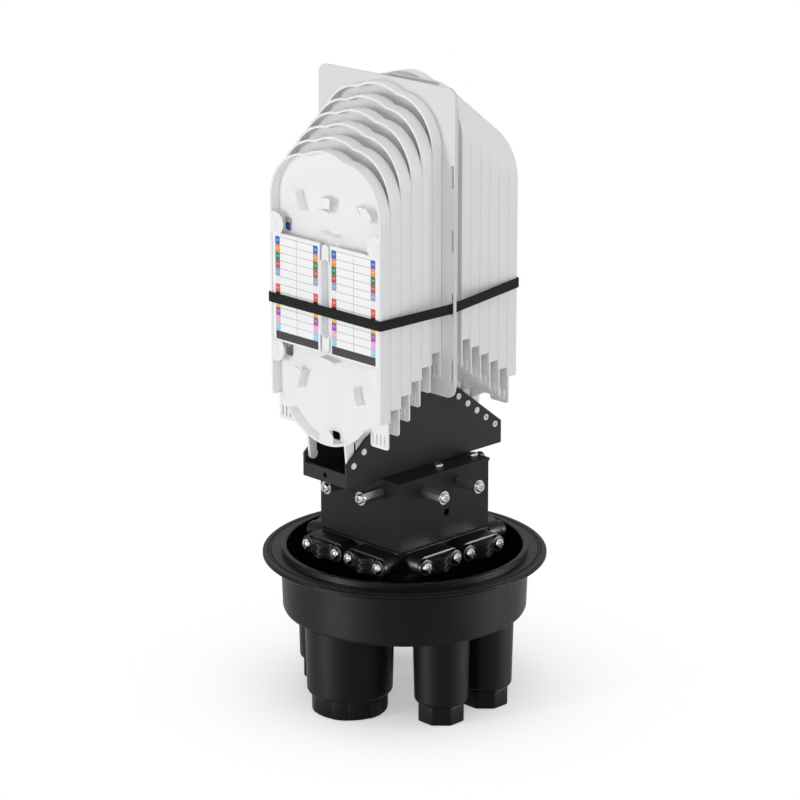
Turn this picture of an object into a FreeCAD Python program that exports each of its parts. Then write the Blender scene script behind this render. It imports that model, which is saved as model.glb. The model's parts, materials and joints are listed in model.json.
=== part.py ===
"""Dome splice closure without its dome: base with six ports, clamps, box and hinged splice trays.

Millimetres, +Z up. The origin lies on the axis of the base, in the plane that the
port nuts stand on. The front stack of trays faces -Y and the rear stack faces +Y.
"""
import FreeCAD, Part
import math
import os

from FreeCAD import Vector

# Base moulding
flange_radius = 102.5
flange_top = 108.0
flange_height = 3.4
flange_groove = 0.7
collar_radius = 88.8
collar_wall = 3.5
collar_height = 4.2
skirt_radius = 90.0
skirt_draft = 1.0
skirt_bottom = 64.5
skirt_step_height = 6.0
skirt_step = 0.7
skirt_floor = 4.0
seal_section = 2.4
seal_gap = 0.1
seal_radius = 97.5

# Ports: distance from the axis, tube radius and nut radius
nut_height = 13.6
nut_gap = 0.4
port_end = nut_height + nut_gap
port_wall = 3.0
port_taper = 1.2
port_round = 3.0
big_port_distance = 55.0
big_port_radius = 32.0
big_nut_radius = 27.4
big_nut_ribs = 40
small_port_x = 60.0
small_port_y = 22.4
small_port_radius = 20.4
small_nut_radius = 16.2
nut_wall = 2.6
thread_clearance = 0.3
plug_clearance = 0.1
plug_height = 12.0
nut_lip = 2.0

# Pedestal and box
box_x = 82.0
box_y = 88.0
box_height = 51.2
box_sheet = 1.5
box_lip = 0.6
box_lip_height = 2.2
pedestal_margin = 2.0
pedestal_corner = 7.0
pedestal_top = 124.5
pedestal_plate = 6.0
pedestal_wall = 4.0
vent_radius = 2.6
vent_height = 24.0

# Cable clamps, two on each side of the pedestal
clamp_offset = 21.5
clamp_width = 38.0
clamp_depth = 13.0
clamp_height = 15.0
clamp_drop = 0.5
clamp_screw_offset = 14.6
saddle_thickness = 3.0
saddle_bulge = 7.0
saddle_rib = 0.9
ear_radius = 4.6
screw_head_radius = 3.6
screw_head_height = 2.6
recess_reach = screw_head_radius * 0.55
recess_half_width = screw_head_radius * 0.13
recess_depth = screw_head_height * 0.45
screw_radius = 2.0

# Hexagonal standoffs on the box
standoff_flats = 8.0
standoff_length = 18.5
standoff_root = 8.0
standoff_screw_bite = 7.0
standoff_spread = 17.5
standoff_shift = 3.0
standoff_drop = 10.8
washer_radius = 4.9
washer_thickness = 1.0

# Bracket that carries the trays
bracket_sheet = 2.0
bracket_half_width = 22.3
bracket_front = -78.0
bracket_back = 76.2
bracket_end_height = 16.8
bracket_lip = 10.0
lip_hole_radius = 2.0
apex_flat = 3.0

# Hinge lines of the two stacks of trays
front_pitch_y = 10.0
front_pitch_z = 8.2
rear_pitch_y = 9.4
rear_pitch_z = 7.2
peg_inset = 6.5
peg_rise = 15.3
peg_radius = 1.25
peg_clearance = 0.1
peg_proud = 0.7
bush_radius = 2.3
bush_flange = 0.4
front_trays = 6
rear_trays = 6
spare_positions = 2
rear_drop = 5.5

# Trays, in their own frame: hinge axis at the origin, open face towards -Y
tray_half_width = 55.2
tray_face = 5.7
tray_depth = 8.4
tray_floor = 1.2
tray_wall = 1.6
tray_side_low = 38.0
tray_side_high = 180.0
tray_corner = 36.0
tray_crown = 220.7
tray_base_arc = 50.0
tray_base_low = 11.5
tray_base_half = 38.0
comb_low = 18.3
comb_slot = 1.3
comb_slot_low = 20.7
comb_slot_height = 7.3
comb_slots = 4
comb_first = 40.0
comb_edge = 3.41
comb_pitch = (tray_half_width - comb_first - comb_edge) / (comb_slots - 1)
arm_thickness = 2.0
arm_clearance = 0.3
arm_hub = 3.6
card_inner = 5.7
card_edge = 2.2
card_outer = tray_half_width - card_edge
card_low = 78.0
card_high = 155.2
card_thickness = 0.35
card_inset = 0.35
card_gap = 0.15
cover_margin = 0.5
cover_thickness = 0.8
ridge_half_width = 3.5
ridge_low = 78.5
ridge_high = 155.4
pocket_half_width = 4.0
pocket_low = 88.9
pocket_high = 144.8
pocket_frame = 1.0

# Fibre guides in a tray, each an arc through three points (x, z) on the floor
guide_height = 7.0
guide_thickness = 1.2
guide_arcs = (((-29.5, 188.2), (-28.0, 182.0), (-24.6, 175.0)), ((31.3, 188.0), (32.9, 184.4), (38.0, 180.6)),
              ((-6.0, 163.2), (1.0, 161.9), (8.3, 162.3)), ((-24.7, 60.2), (-27.4, 54.0), (-29.6, 46.8)),
              ((28.0, 59.0), (28.4, 53.0), (31.8, 46.9)), ((-5.8, 73.9), (1.0, 73.4), (8.3, 72.3)))
cross_guides = ((-2.4, -1.2, 179.0, 189.0), (-7.5, 4.5, 178.0, 179.2))
guide_tabs = (((-36.0, 185.5), (-34.6, 181.0), (-28.6, 181.0), (-29.6, 187.0), (-33.5, 188.0)),
              ((33.2, 187.2), (40.5, 187.4), (46.2, 182.0), (44.6, 177.6), (37.6, 176.6), (37.0, 181.4)),
              ((-1.8, 188.0), (5.2, 188.0), (5.2, 181.0), (-1.8, 181.0)),
              ((-25.6, 60.2), (-31.5, 63.0), (-33.6, 59.0), (-31.0, 54.0), (-27.6, 54.6)))
tab_thickness = 1.0

# Retainers over the fibre path: a wide disc with a small one on it
clip_edge = 4.7
clip_x = tray_half_width - clip_edge
clip_levels = (161.8, 71.0)
clip_radius = 8.5
clip_thickness = 1.0
button_radius = 4.2
button_height = 0.5
button_clearance = 0.3
hook_place = (0.5, 15.5)
hook_radius = 7.0
hole_corner = 2.0
floor_holes = ((-48.0, -40.3, 156.6, 166.2), (-48.0, -40.3, 66.2, 76.4), (-1.5, 7.2, 14.6, 20.8))

# Storage plates between the stacks
plate_sheet = 2.0
plate_gap = 0.3
plate_half_width = 67.6
plate_top = 456.0
plate_bottom = 238.0
plate_corner = 7.0
plate_spacing = 7.0
tongue_half_width = 16.0
tongue_overlap = 20.0
foot_length = 10.0
rear_plate_half_width = 60.0
rear_plate_drop = 11.0
rear_plate_top = plate_top - rear_plate_drop
tab_left = -7.0
tab_right = 43.0
strap_slot_width = 3.0
strap_slot_height = 15.6
strap_slot_margin = 1.3
strap_slot_levels = (257.1, 305.4, 350.0, 394.8)
spacer_radius = 4.0
spacer_places = ((-45.0, 275.0), (45.0, 275.0), (-45.0, 430.0), (30.0, 430.0))

# Strap
strap_height = 7.0
strap_thickness = 1.3
strap_gap = 0.3
strap_front_level = 299.6
strap_rise = 0.046

# Worked out from the values above
box_bottom = pedestal_top
box_top = box_bottom + box_height
channel_floor = box_top + bracket_sheet
first_peg_z = box_top + peg_rise
front_peg_y = bracket_front + peg_inset
rear_peg_y = bracket_back - peg_inset
floor_level = skirt_bottom + skirt_floor
wall_inner = bracket_half_width - bracket_sheet
arm_outer = wall_inner - arm_clearance
arm_inner = arm_outer - arm_thickness
inner_face = tray_face - tray_depth
X, Y, Z = Vector(1, 0, 0), Vector(0, 1, 0), Vector(0, 0, 1)


def save(name, shape):
    """Write one named node."""
    shape.exportStep("parts/%s.step" % name)


def cylinder(radius, height, place, direction=Z):
    return Part.makeCylinder(radius, height, Vector(*place), direction)


def block(x0, x1, y0, y1, z0, z1):
    return Part.makeBox(x1 - x0, y1 - y0, z1 - z0, Vector(x0, y0, z0))


def fuse_all(shapes):
    whole = shapes[0]
    if len(shapes) > 1:
        whole = whole.multiFuse(shapes[1:])
    return whole.removeSplitter()


def prism(points, direction):
    """Extrude the closed polygon through the given points."""
    wire = Part.makePolygon([Vector(*p) for p in points] + [Vector(*points[0])])
    return Part.Face(wire).extrude(direction)


def rounded_block(half_x, half_y, z0, z1, corner):
    """Box with its four upright edges rounded."""
    body = block(-half_x, half_x, -half_y, half_y, z0, z1)
    upright = [e for e in body.Edges if abs(e.tangentAt(e.FirstParameter).z) > 0.9]
    return body.makeFillet(corner, upright)


def port_places():
    """Each port: name, centre x and y, tube radius, nut radius and whether it is a big one."""
    ports = [("port_nut_front", 0.0, -big_port_distance, big_port_radius, big_nut_radius, True),
             ("port_nut_rear", 0.0, big_port_distance, big_port_radius, big_nut_radius, True)]
    for side_x, word_x in ((1, "right"), (-1, "left")):
        for side_y, word_y in ((-1, "front"), (1, "rear")):
            name = "port_nut_%s_%s" % (word_x, word_y)
            ports.append((name, side_x * small_port_x, side_y * small_port_y,
                          small_port_radius, small_nut_radius, False))
    return ports


def spigot_radius(nut_radius):
    """Outside of the threaded spigot that a nut runs on."""
    return nut_radius - nut_wall - thread_clearance


def bore_radius(nut_radius):
    return spigot_radius(nut_radius) - port_wall


def base_rim():
    """Turned ring of the base: skirt, sealing flange and collar."""
    inner = collar_radius - collar_wall
    half = seal_section / 2 + seal_gap
    low_radius = skirt_radius - skirt_step - skirt_draft
    top = flange_top + collar_height
    under = flange_top - flange_height
    step_z = under - skirt_step_height
    groove_z = flange_top - flange_height / 2
    bevel = low_radius - inner - 0.4
    points = [(inner, skirt_bottom), (low_radius - bevel, skirt_bottom),
              (low_radius - bevel * 0.3, skirt_bottom + bevel * 0.3), (low_radius, skirt_bottom + bevel),
              (skirt_radius - skirt_step, step_z), (skirt_radius, step_z), (skirt_radius, under),
              (flange_radius - 0.8, under), (flange_radius, under + 0.8),
              (flange_radius, groove_z - flange_groove / 2), (flange_radius - flange_groove, groove_z),
              (flange_radius, groove_z + flange_groove / 2), (flange_radius, flange_top - 0.8),
              (flange_radius - 0.8, flange_top), (seal_radius + half, flange_top),
              (seal_radius + half, flange_top - seal_section), (seal_radius - half, flange_top - seal_section),
              (seal_radius - half, flange_top), (collar_radius, flange_top), (collar_radius, top - 0.6),
              (collar_radius - 0.6, top), (inner + 0.6, top), (inner, top - 0.6)]
    wire = Part.makePolygon([Vector(x, 0, z) for x, z in points + points[:1]])
    return Part.Face(wire).revolve(Vector(0, 0, 0), Z, 360)


def base_floor():
    """Floor of the base, with the six cable ports through it."""
    floor = cylinder(collar_radius - collar_wall, skirt_floor, (0, 0, skirt_bottom))
    return floor.cut([cylinder(bore_radius(nut_radius), skirt_floor, (x, y, skirt_bottom))
                      for _, x, y, _, nut_radius, _ in port_places()])


def port_tube(x, y, radius, nut_radius):
    """Tapered tube with a rounded shoulder and the spigot for its nut, under the floor."""
    length = skirt_bottom - port_end
    tube = Part.makeCone(radius - port_taper, radius, length, Vector(x, y, port_end), Z)
    lowest = [e for e in tube.Edges if abs(e.BoundBox.ZMax - port_end) < 0.01]
    tube = tube.makeFillet(port_round, lowest)
    spigot_low = nut_lip + nut_gap
    spigot = cylinder(spigot_radius(nut_radius), port_end - spigot_low + port_round, (x, y, spigot_low))
    return fuse_all([tube, spigot]).cut(cylinder(bore_radius(nut_radius), skirt_bottom, (x, y, 0)))


def port_tubes():
    return Part.makeCompound([port_tube(x, y, radius, nut_radius)
                              for _, x, y, radius, nut_radius, _ in port_places()])


def seal_ring():
    """Sealing ring, pressed flush into its groove in the flange."""
    return Part.makeTorus(seal_radius, seal_section / 2, Vector(0, 0, flange_top - seal_section / 2))


def nut_blank(radius, big):
    """Outside of a port nut: fine ribs on a big one, eight rounded faces on a small one."""
    if not big:
        side = radius * 2 * math.tan(math.pi / 8)
        points = []
        for i in range(8):
            angle = math.pi / 8 + i * math.pi / 4
            points.append((side / 2 / math.sin(math.pi / 8) * math.cos(angle),
                           side / 2 / math.sin(math.pi / 8) * math.sin(angle), 0))
        return prism(points, Z * nut_height).common(cylinder(radius * 1.05, nut_height, (0, 0, 0)))
    return cylinder(radius, nut_height, (0, 0, 0))


def nut_ribs(radius):
    """Grooves between the grip ribs of a big nut."""
    grooves = []
    for i in range(big_nut_ribs):
        angle = 2 * math.pi * (i + 0.5) / big_nut_ribs
        centre = (radius * math.cos(angle), radius * math.sin(angle), 2.0)
        groove = block(-0.6, 0.6, -0.8, 0.8, 2.0, nut_height - 1.5)
        groove.rotate(Vector(0, 0, 0), Z, math.degrees(angle))
        groove.translate(Vector(centre[0], centre[1], 0))
        grooves.append(groove)
    return grooves


def port_nut(x, y, radius, big):
    """Nut with a threaded bore and a lip that bears on the blanking plug."""
    nut = nut_blank(radius, big)
    nut = nut.cut([cylinder(radius - nut_wall, nut_height, (0, 0, nut_lip)),
                   cylinder(bore_radius(radius) - 2.0, nut_lip, (0, 0, 0))])
    if big:
        nut = nut.cut(nut_ribs(radius))
    nut.translate(Vector(x, y, 0))
    return nut


def port_plugs():
    """Blanking plugs in the unused ports."""
    plugs = []
    for _, x, y, _, nut_radius, _ in port_places():
        plugs.append(cylinder(bore_radius(nut_radius) - plug_clearance, plug_height, (x, y, nut_lip + nut_gap)))
    return Part.makeCompound(plugs)


def pedestal_half():
    return box_x / 2 + pedestal_margin, box_y / 2 + pedestal_margin


def pedestal():
    """Hollow post that carries the box; it stands on the floor of the base."""
    half_x, half_y = pedestal_half()
    neck = pedestal_margin
    post = rounded_block(half_x - neck, half_y - neck, floor_level, pedestal_top, pedestal_corner)
    plate = rounded_block(half_x, half_y, pedestal_top - pedestal_plate, pedestal_top, pedestal_corner)
    inside = rounded_block(half_x - neck - pedestal_wall, half_y - neck - pedestal_wall,
                           floor_level, pedestal_top - pedestal_plate, pedestal_corner - pedestal_wall)
    return fuse_all([post, plate]).cut(inside)


def around(build):
    """Place what build(half) makes, facing -Y, on all four sides of the pedestal."""
    half_x, half_y = pedestal_half()
    shapes = []
    for turn, half in ((0, half_y), (90, half_x), (180, half_y), (270, half_x)):
        for side in (-1, 1):
            for shape in build(half, side * clamp_offset):
                shape.rotate(Vector(0, 0, 0), Z, turn)
                shapes.append(shape)
    return Part.makeCompound(shapes)


def clamp_levels():
    top = pedestal_top - clamp_drop
    return top - clamp_height, top


def clamp_block(half, centre):
    """Clamp body with a flat top and a boss behind each screw."""
    low, high = clamp_levels()
    face = -half - clamp_depth
    body = block(centre - clamp_width / 2 + ear_radius, centre + clamp_width / 2 - ear_radius,
                 face, -half, low, high)
    middle = (low + high) / 2
    bosses = [cylinder(ear_radius, clamp_depth, (centre + s * clamp_screw_offset, face, middle), Y)
              for s in (-1, 1)]
    holes = [cylinder(screw_radius, clamp_depth - 3.0, (centre + s * clamp_screw_offset, face, middle), Y)
             for s in (-1, 1)]
    return [fuse_all([body] + bosses).cut(holes)]


def bulge_section(centre, face, inset, reach):
    """Outline of the saddle's bow, seen from above."""
    half = clamp_screw_offset - ear_radius - inset
    left, right = Vector(centre - half, face, 0), Vector(centre + half, face, 0)
    bow = Part.Arc(left, Vector(centre, face - reach, 0), right).toShape()
    return Part.Face(Part.Wire([bow, Part.LineSegment(right, left).toShape()]))


def clamp_saddle(half, centre):
    """Bowed saddle with three ribs across it and an ear at each screw."""
    low, high = clamp_levels()
    face = -half - clamp_depth
    middle = (low + high) / 2
    reach = saddle_thickness + saddle_bulge
    bow = bulge_section(centre, face, -1.5, reach)
    bow.translate(Vector(0, 0, low + 1.0))
    pieces = [bow.extrude(Z * (clamp_height - 3.0))]
    for i in range(3):
        rib = bulge_section(centre, face, -1.5 - saddle_rib / 2, reach + saddle_rib)
        rib.translate(Vector(0, 0, low + 2.0 + i * (clamp_height - 6.5) / 2))
        pieces.append(rib.extrude(Z * 1.6))
    for s in (-1, 1):
        pieces.append(cylinder(ear_radius, saddle_thickness,
                               (centre + s * clamp_screw_offset, face - saddle_thickness, middle), Y))
    holes = [cylinder(screw_radius, saddle_thickness,
                      (centre + s * clamp_screw_offset, face - saddle_thickness, middle), Y) for s in (-1, 1)]
    return [fuse_all(pieces).cut(holes)]


def cross_recess(place, outward):
    """The two crossed blades of a driver recess, open at the top of a screw head."""
    blades = [Part.makeBox(2 * x, 2 * y, recess_depth + 1.0, Vector(-x, -y, 0))
              for x, y in ((recess_reach, recess_half_width), (recess_half_width, recess_reach))]
    cross = fuse_all(blades)
    floor = Vector(*place) + outward * (screw_head_height - recess_depth)
    cross.Placement = FreeCAD.Placement(floor, FreeCAD.Rotation(Z, outward))
    return cross


def pan_screw(place, outward, shank):
    """Pan-head screw: its seat at place, its head outwards, with a cross recess."""
    head = cylinder(screw_head_radius, screw_head_height, place, outward)
    rim = [e for e in head.Edges if abs((e.CenterOfMass - Vector(*place)).dot(outward) - screw_head_height) < 0.01]
    head = head.makeFillet(screw_head_height * 0.6, rim).cut(cross_recess(place, outward))
    stem = cylinder(screw_radius, shank, place, outward * -1)
    return fuse_all([head, stem])


def clamp_screws(half, centre):
    low, high = clamp_levels()
    seat = -half - clamp_depth - saddle_thickness
    shank = saddle_thickness + clamp_depth - 4.0
    return [pan_screw((centre + s * clamp_screw_offset, seat, (low + high) / 2), Y * -1, shank)
            for s in (-1, 1)]


def box_screw_places():
    return [(31.0, 3.0), (31.0, 38.0), (-31.0, -3.0), (-31.0, -38.0)]


def standoff_places():
    """Base centre and outward direction of each standoff."""
    level = box_top - standoff_drop
    places = []
    for side in (-1, 1):
        shift = side * standoff_spread
        places.append(((box_x / 2, shift - standoff_shift, level), X))
        places.append(((-box_x / 2, shift + standoff_shift, level), X * -1))
        places.append(((shift + standoff_shift, -box_y / 2, level), Y * -1))
        places.append(((shift - standoff_shift, box_y / 2, level), Y))
    return places


def box_cover():
    """Folded sheet cover, open below, with a rolled lip round its top."""
    half_x, half_y = box_x / 2, box_y / 2
    body = block(-half_x, half_x, -half_y, half_y, box_bottom, box_top)
    lip = block(-half_x - box_lip, half_x + box_lip, -half_y - box_lip, half_y + box_lip,
                box_top - box_lip_height, box_top)
    lip = lip.makeFillet(box_lip * 0.9, [e for e in lip.Edges if abs(e.BoundBox.ZMin - box_top) < 0.01])
    inside = block(-half_x + box_sheet, half_x - box_sheet, -half_y + box_sheet, half_y - box_sheet,
                   box_bottom, box_top - box_sheet)
    holes = [cylinder(screw_radius, 2 * box_sheet, (x, y, box_top - box_sheet)) for x, y in box_screw_places()]
    for place, outward in standoff_places():
        start = Vector(*place) - outward * (box_sheet + 0.1)
        holes.append(cylinder(screw_radius, box_sheet + 0.1, start, outward))
    holes.append(cylinder(vent_radius, box_sheet + 1.0, (half_x - box_sheet, 1.6, box_bottom + vent_height - 4), X))
    return fuse_all([body, lip]).cut([inside] + holes)


def box_screws():
    return Part.makeCompound([pan_screw((x, y, box_top), Z, 5.0) for x, y in box_screw_places()])


def hexagon(place, outward):
    """Hexagonal standoff with its threaded stud through the sheet."""
    corner = standoff_flats / math.sqrt(3)
    points = [(corner * math.cos(i * math.pi / 3), corner * math.sin(i * math.pi / 3), 0) for i in range(6)]
    hexa = prism(points, Z * standoff_length)
    hexa = hexa.common(Part.makeCylinder(corner * 0.97, standoff_length))
    turn = FreeCAD.Rotation(Z, outward)
    hexa.Placement = FreeCAD.Placement(Vector(*place), turn)
    stud = cylinder(screw_radius, box_sheet + 3.0, Vector(*place) - outward * (box_sheet + 3.0), outward)
    bore = cylinder(screw_radius, standoff_length - standoff_root, Vector(*place) + outward * standoff_root, outward)
    return fuse_all([hexa, stud]).cut(bore)


def standoffs():
    return Part.makeCompound([hexagon(place, outward) for place, outward in standoff_places()])


def standoff_washers():
    rings = []
    for place, outward in standoff_places():
        seat = Vector(*place) + outward * standoff_length
        ring = cylinder(washer_radius, washer_thickness, seat, outward)
        rings.append(ring.cut(cylinder(screw_radius, washer_thickness, seat, outward)))
    return Part.makeCompound(rings)


def standoff_screws():
    screws = []
    for place, outward in standoff_places():
        seat = Vector(*place) + outward * (standoff_length + washer_thickness)
        screws.append(pan_screw(tuple(seat), outward, washer_thickness + standoff_screw_bite))
    return Part.makeCompound(screws)


def peg_places(rear, count):
    """Hinge axes of a stack, outermost first, as (y, z)."""
    if rear:
        return [(rear_peg_y - rear_pitch_y * i, first_peg_z + rear_pitch_z * i) for i in range(count)]
    return [(front_peg_y + front_pitch_y * i, first_peg_z + front_pitch_z * i) for i in range(count)]


def front_axes():
    return peg_places(False, front_trays)


def rear_axes():
    return peg_places(True, rear_trays + spare_positions)[spare_positions:]


def hinge_holes():
    return peg_places(False, front_trays) + peg_places(True, rear_trays + spare_positions)


def wall_top(y):
    """Height of the bracket's side walls at y, in front of their peak."""
    return box_top + bracket_end_height + (y - bracket_front) * front_pitch_z / front_pitch_y


def bracket():
    """Folded U-channel whose side walls rise from both ends, with a lip across each end."""
    end_z = box_top + bracket_end_height
    front_slope, rear_slope = front_pitch_z / front_pitch_y, rear_pitch_z / rear_pitch_y
    peak = (bracket_back * rear_slope + bracket_front * front_slope) / (front_slope + rear_slope)
    apex = end_z + (bracket_back - peak) * rear_slope - apex_flat * rear_slope
    points = [(0, bracket_front, box_top), (0, bracket_back, box_top), (0, bracket_back, end_z),
              (0, bracket_back - (apex - end_z) / rear_slope, apex),
              (0, bracket_front + (apex - end_z) / front_slope, apex), (0, bracket_front, end_z)]
    pieces = []
    for x in (-bracket_half_width, wall_inner):
        wall = prism(points, X * bracket_sheet)
        wall.translate(Vector(x, 0, 0))
        pieces.append(wall)
    width = bracket_half_width
    pieces.append(block(-width, width, bracket_front, bracket_back, box_top, channel_floor))
    for y in (bracket_front, bracket_back - bracket_sheet):
        pieces.append(block(-width, width, y, y + bracket_sheet, box_top, box_top + bracket_lip))
    holes = [cylinder(bush_radius, 2 * width + 2, (-width - 1, y, z), X) for y, z in hinge_holes()]
    length = bracket_back - bracket_front
    holes.append(cylinder(lip_hole_radius, length + 2, (0, bracket_front - 1, box_top + bracket_lip / 2), Y))
    return fuse_all(pieces).cut(holes)


def hinge_bushes():
    """White bushes in both walls, one at each hinge position."""
    bushes = []
    for y, z in hinge_holes():
        for side in (-1, 1):
            start = Vector(side * wall_inner, y, z)
            out = X * side
            bush = cylinder(bush_radius, bracket_sheet + bush_flange, start, out)
            bushes.append(bush.cut(cylinder(peg_radius + peg_clearance, bracket_sheet + bush_flange, start, out)))
    return Part.makeCompound(bushes)


def tray_outline():
    """Outline of a tray in its XZ plane: round shoulders, shallow crown and a bowed lower edge."""
    half, low, high, r = tray_half_width, tray_side_low, tray_side_high, tray_corner
    top = high + r
    mid = r * math.sqrt(0.5)
    cx = half - r
    base_z = tray_base_low + tray_base_arc - math.sqrt(tray_base_arc ** 2 - tray_base_half ** 2)

    def at(x, z):
        return Vector(x, 0, z)

    edges = [
        Part.LineSegment(at(half, low), at(half, high)),
        Part.Arc(at(half, high), at(cx + mid, high + mid), at(cx, top)),
        Part.Arc(at(cx, top), at(0, tray_crown), at(-cx, top)),
        Part.Arc(at(-cx, top), at(-cx - mid, high + mid), at(-half, high)),
        Part.LineSegment(at(-half, high), at(-half, low)),
        Part.LineSegment(at(-half, low), at(-tray_base_half, base_z)),
        Part.Arc(at(-tray_base_half, base_z), at(0, tray_base_low), at(tray_base_half, base_z)),
        Part.LineSegment(at(tray_base_half, base_z), at(half, low)),
    ]
    return Part.Wire([e.toShape() for e in edges])


def slab(wire, front, back):
    """Solid of the outline between two depths, with front the smaller y."""
    face = Part.Face(wire)
    face.translate(Vector(0, front, 0))
    return face.extrude(Vector(0, back - front, 0))


def comb(side):
    """Tab below a lower corner of the floor, with slots between its teeth."""
    x0, x1 = sorted((side * tray_base_half, side * tray_half_width))
    back = -inner_face
    tab = block(x0, x1, back - tray_floor, back, comb_low, tray_side_low + 1.0)
    low_corners = [e for e in tab.Edges if abs(e.tangentAt(e.FirstParameter).y) > 0.9
                   and e.BoundBox.ZMax < comb_low + 0.01]
    tab = tab.makeFillet(2.0, low_corners)
    slots = []
    for i in range(comb_slots):
        x = side * (comb_first + comb_pitch * i)
        slots.append(block(x - comb_slot / 2, x + comb_slot / 2, back - tray_floor, back,
                           comb_slot_low, comb_slot_low + comb_slot_height))
    return tab.cut(slots)


def arm(side, rise):
    """Hinge arm with its peg, rise above the tray's own datum: a flat cheek inside the channel wall."""
    x = side * arm_inner if side > 0 else -arm_outer
    root = tray_base_low + tray_base_arc - math.sqrt(tray_base_arc ** 2 - arm_inner ** 2) + tray_wall / 2
    points = [(x, -inner_face - 0.1, root), (x, -tray_face + 0.5, root), (x, -arm_hub, rise),
              (x, -inner_face - 0.1, rise)]
    cheek = prism(points, X * arm_thickness)
    hub = cylinder(arm_hub, arm_thickness, (x, 0, rise), X)
    reach = bracket_half_width + peg_proud - arm_inner
    peg = cylinder(peg_radius, reach, (side * arm_inner, 0, rise), X * side)
    return fuse_all([cheek, hub, peg])


def arc_wall(points, thickness):
    """Curved wall along the arc through three points (x, z), as a face at y = 0."""
    start, middle, end = [Vector(x, 0, z) for x, z in points]
    centre = Part.Circle(start, middle, end).Center

    def moved(step):
        return [p + (p - centre).normalize() * step for p in (start, middle, end)]

    outer, inner = moved(thickness / 2), moved(-thickness / 2)
    edges = [Part.Arc(*outer), Part.LineSegment(outer[2], inner[2]), Part.Arc(*reversed(inner)),
             Part.LineSegment(inner[0], outer[0])]
    return Part.Face(Part.Wire([e.toShape() for e in edges]))


def guides(front):
    """Fibre guides: curved and straight walls that stand on the floor, some with a tab at the top."""
    top = front - guide_height
    pieces = []
    for points in guide_arcs:
        wall = arc_wall(points, guide_thickness)
        wall.translate(Vector(0, top, 0))
        pieces.append(wall.extrude(Y * guide_height))
    for x0, x1, z0, z1 in cross_guides:
        pieces.append(block(x0, x1, top, front, z0, z1))
    for outline in guide_tabs:
        pieces.append(prism([(x, top, z) for x, z in outline], Y * tab_thickness))
    return fuse_all(pieces)


def clips():
    """Round retainers at the side walls and the hook at the lower one, level with the tray's rim."""
    top = -tray_face
    low = tray_base_low + tray_wall
    inside = block(-tray_half_width, tray_half_width, top, 0, low, tray_crown)
    reach = tray_half_width - tray_wall - button_clearance
    proud = block(-reach, reach, top - button_height, top + button_height, low, tray_crown)
    pieces = []
    for side in (-1, 1):
        for z in clip_levels:
            pieces.append(cylinder(clip_radius, clip_thickness, (side * clip_x, top, z), Y))
            pieces.append(cylinder(button_radius, button_height + 0.2, (side * (clip_x + 1), top - button_height, z), Y))
    x, z = hook_place
    pieces.append(cylinder(hook_radius, clip_thickness, (x, top, z), Y))
    card_room = [block(-card_outer - card_gap, card_outer + card_gap, top - button_height, card_face(),
                       card_low - card_gap, card_high + card_gap)]
    return fuse_all(pieces).common(inside.fuse(proud)).cut(card_room)


def pill(half_width, low, high, front, back):
    """Upright slab with round ends."""
    body = block(-half_width, half_width, front, back, low, high)
    return body.makeFillet(half_width * 0.99, [e for e in body.Edges if abs(e.tangentAt(e.FirstParameter).y) > 0.9])


def card_face():
    """Depth of the face that the label cards lie on."""
    return -tray_face + card_inset + card_thickness


def covers(front):
    """Splice covers under the label cards, and the ridge between them with its pocket."""
    face = card_face()
    low, high = card_low - cover_margin, card_high + cover_margin
    pieces = []
    for side in (-1, 1):
        x0, x1 = sorted((side * (card_inner - cover_margin), side * (tray_half_width - tray_wall / 2)))
        pieces.append(block(x0, x1, face, face + cover_thickness, low, high))
    frame_half = pocket_half_width + pocket_frame
    ridge = fuse_all([pill(ridge_half_width, ridge_low, ridge_high, face, front),
                      pill(frame_half, pocket_low - pocket_frame, pocket_high + pocket_frame, face, front)])
    pieces.append(ridge.cut(pill(pocket_half_width, pocket_low, pocket_high, face - 1.0, front - 1.0)))
    return Part.makeCompound(pieces)


def floor_hole(x0, x1, z0, z1, front, back):
    body = block(x0, x1, front, back, z0, z1)
    corners = [e for e in body.Edges if abs(e.tangentAt(e.FirstParameter).y) > 0.9]
    return body.makeFillet(hole_corner, corners)


def tray(rise):
    """One splice tray: the open shell with its combs, then the parts that stand in it and its hinge arms."""
    outline = tray_outline()
    inner = Part.Face(outline).makeOffset2D(-tray_wall).OuterWire
    back = -inner_face
    front = back - tray_floor
    rim = slab(outline, -tray_face, back).cut(slab(inner, -tray_face, front))
    entries = [block(min(x0, x1), max(x0, x1), -tray_face, front, 0, tray_side_low)
               for x0, x1 in ((s * tray_base_half, s * (tray_half_width + 1)) for s in (-1, 1))]
    holes = [floor_hole(*place, front, back) for place in floor_holes]
    shell = fuse_all([rim.cut(entries), comb(-1), comb(1)]).cut(holes)
    inserts = []
    for part in (covers(front), guides(front), clips()):
        inserts += part.cut([shell] + inserts).Solids
    return Part.makeCompound([shell] + inserts + [arm(side, rise).cut(shell) for side in (-1, 1)])


def cards():
    """Two label cards on the splice covers of a tray."""
    back = card_face()
    pair = []
    for side in (-1, 1):
        x0, x1 = sorted((side * card_inner, side * card_outer))
        pair.append(block(x0, x1, back - card_thickness, back, card_low, card_high))
    return Part.makeCompound(pair)


def placed(shape, y, z, rear):
    """Copy of a tray-frame shape at its hinge axis, turned round for the rear stack."""
    copy = shape.copy()
    if rear:
        copy.rotate(Vector(0, 0, 0), Z, 180)
    copy.translate(Vector(0, y, z))
    return copy


def front_plate_y():
    """Front face of the front storage plate, just behind the innermost front tray."""
    return front_axes()[-1][0] - inner_face + plate_gap


def rounded_plate(x0, x1, z0, z1, y, corner):
    body = block(x0, x1, y, y + plate_sheet, z0, z1)
    return body.makeFillet(corner, [e for e in body.Edges if abs(e.tangentAt(e.FirstParameter).y) > 0.9])


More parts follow.
